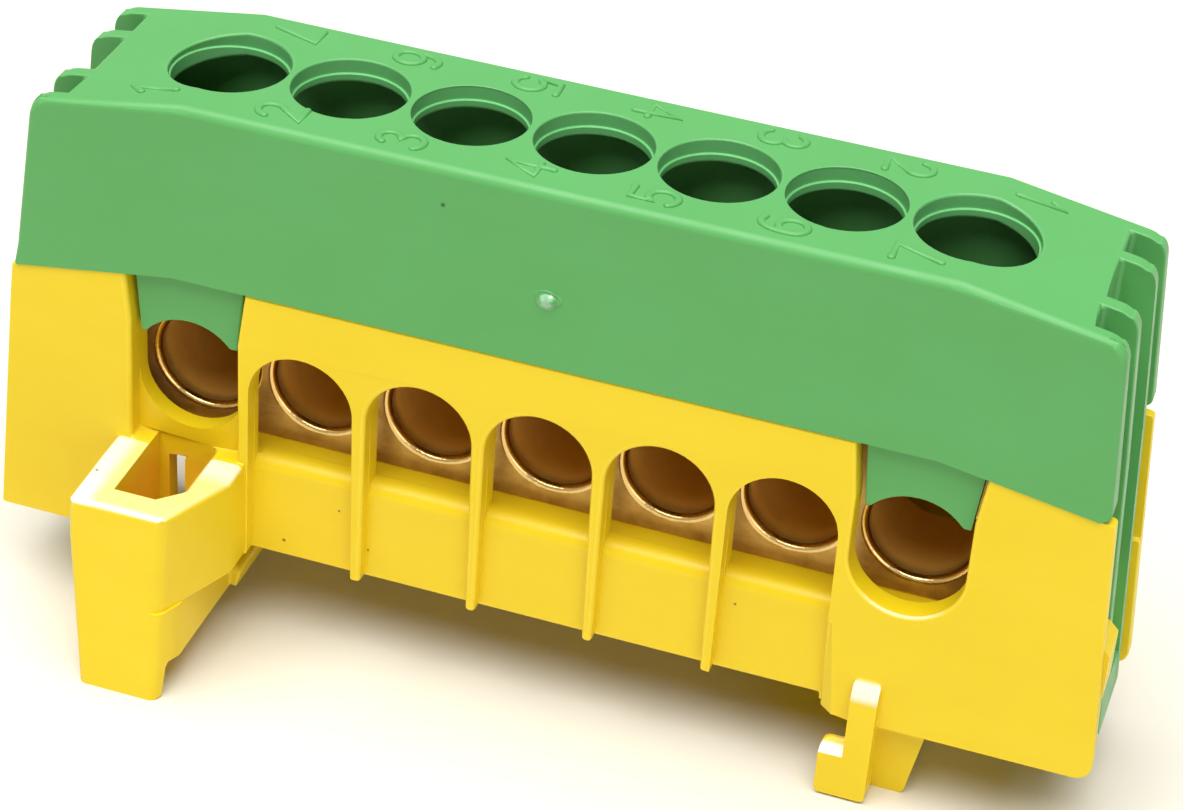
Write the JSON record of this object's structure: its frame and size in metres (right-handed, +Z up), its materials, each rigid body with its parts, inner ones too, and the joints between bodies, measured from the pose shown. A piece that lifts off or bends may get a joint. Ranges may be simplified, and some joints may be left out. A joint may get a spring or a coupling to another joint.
{
  "type": "earth terminal block",
  "caption": "Rail mounted earth terminal block: yellow base with latch and hook feet, green numbered cover with screw access holes, cross bored brass bar and slotted clamp screws.",
  "frame": {"origin": "middle of the bounding box, at the bottoms of the feet", "axes": "+X along the row of clamping points from the latch foot to the hook foot, +Y from the wire openings to the closed back, +Z up out of the screw access holes"},
  "size_m": [0.0606, 0.019, 0.0317],
  "materials": {
    "yellow_plastic": "satin moulded plastic",
    "green_plastic": "satin moulded plastic",
    "brass": "sawn and tarnished",
    "screw_steel": "plated"
  },
  "bodies": {
    "block": {"base": "yellow_plastic", "cover": "green_plastic", "terminal_bar": "brass"},
    "screw_1": {"clamp_screw_1": "screw_steel"},
    "screw_2": {"clamp_screw_2": "screw_steel"},
    "screw_3": {"clamp_screw_3": "screw_steel"},
    "screw_4": {"clamp_screw_4": "screw_steel"},
    "screw_5": {"clamp_screw_5": "screw_steel"},
    "screw_6": {"clamp_screw_6": "screw_steel"},
    "screw_7": {"clamp_screw_7": "screw_steel"}
  },
  "joints": [
    {"name": "screw_1_travel", "type": "slide", "parent": "block", "child": "screw_1", "axis": [0, 0, -1], "range_m": [0, 0.0043]},
    {"name": "screw_2_travel", "type": "slide", "parent": "block", "child": "screw_2", "axis": [0, 0, -1], "range_m": [0, 0.0043]},
    {"name": "screw_3_travel", "type": "slide", "parent": "block", "child": "screw_3", "axis": [0, 0, -1], "range_m": [0, 0.0043]},
    {"name": "screw_4_travel", "type": "slide", "parent": "block", "child": "screw_4", "axis": [0, 0, -1], "range_m": [0, 0.0043]},
    {"name": "screw_5_travel", "type": "slide", "parent": "block", "child": "screw_5", "axis": [0, 0, -1], "range_m": [0, 0.0043]},
    {"name": "screw_6_travel", "type": "slide", "parent": "block", "child": "screw_6", "axis": [0, 0, -1], "range_m": [0, 0.0043]},
    {"name": "screw_7_travel", "type": "slide", "parent": "block", "child": "screw_7", "axis": [0, 0, -1], "range_m": [0, 0.0043]}
  ]
}
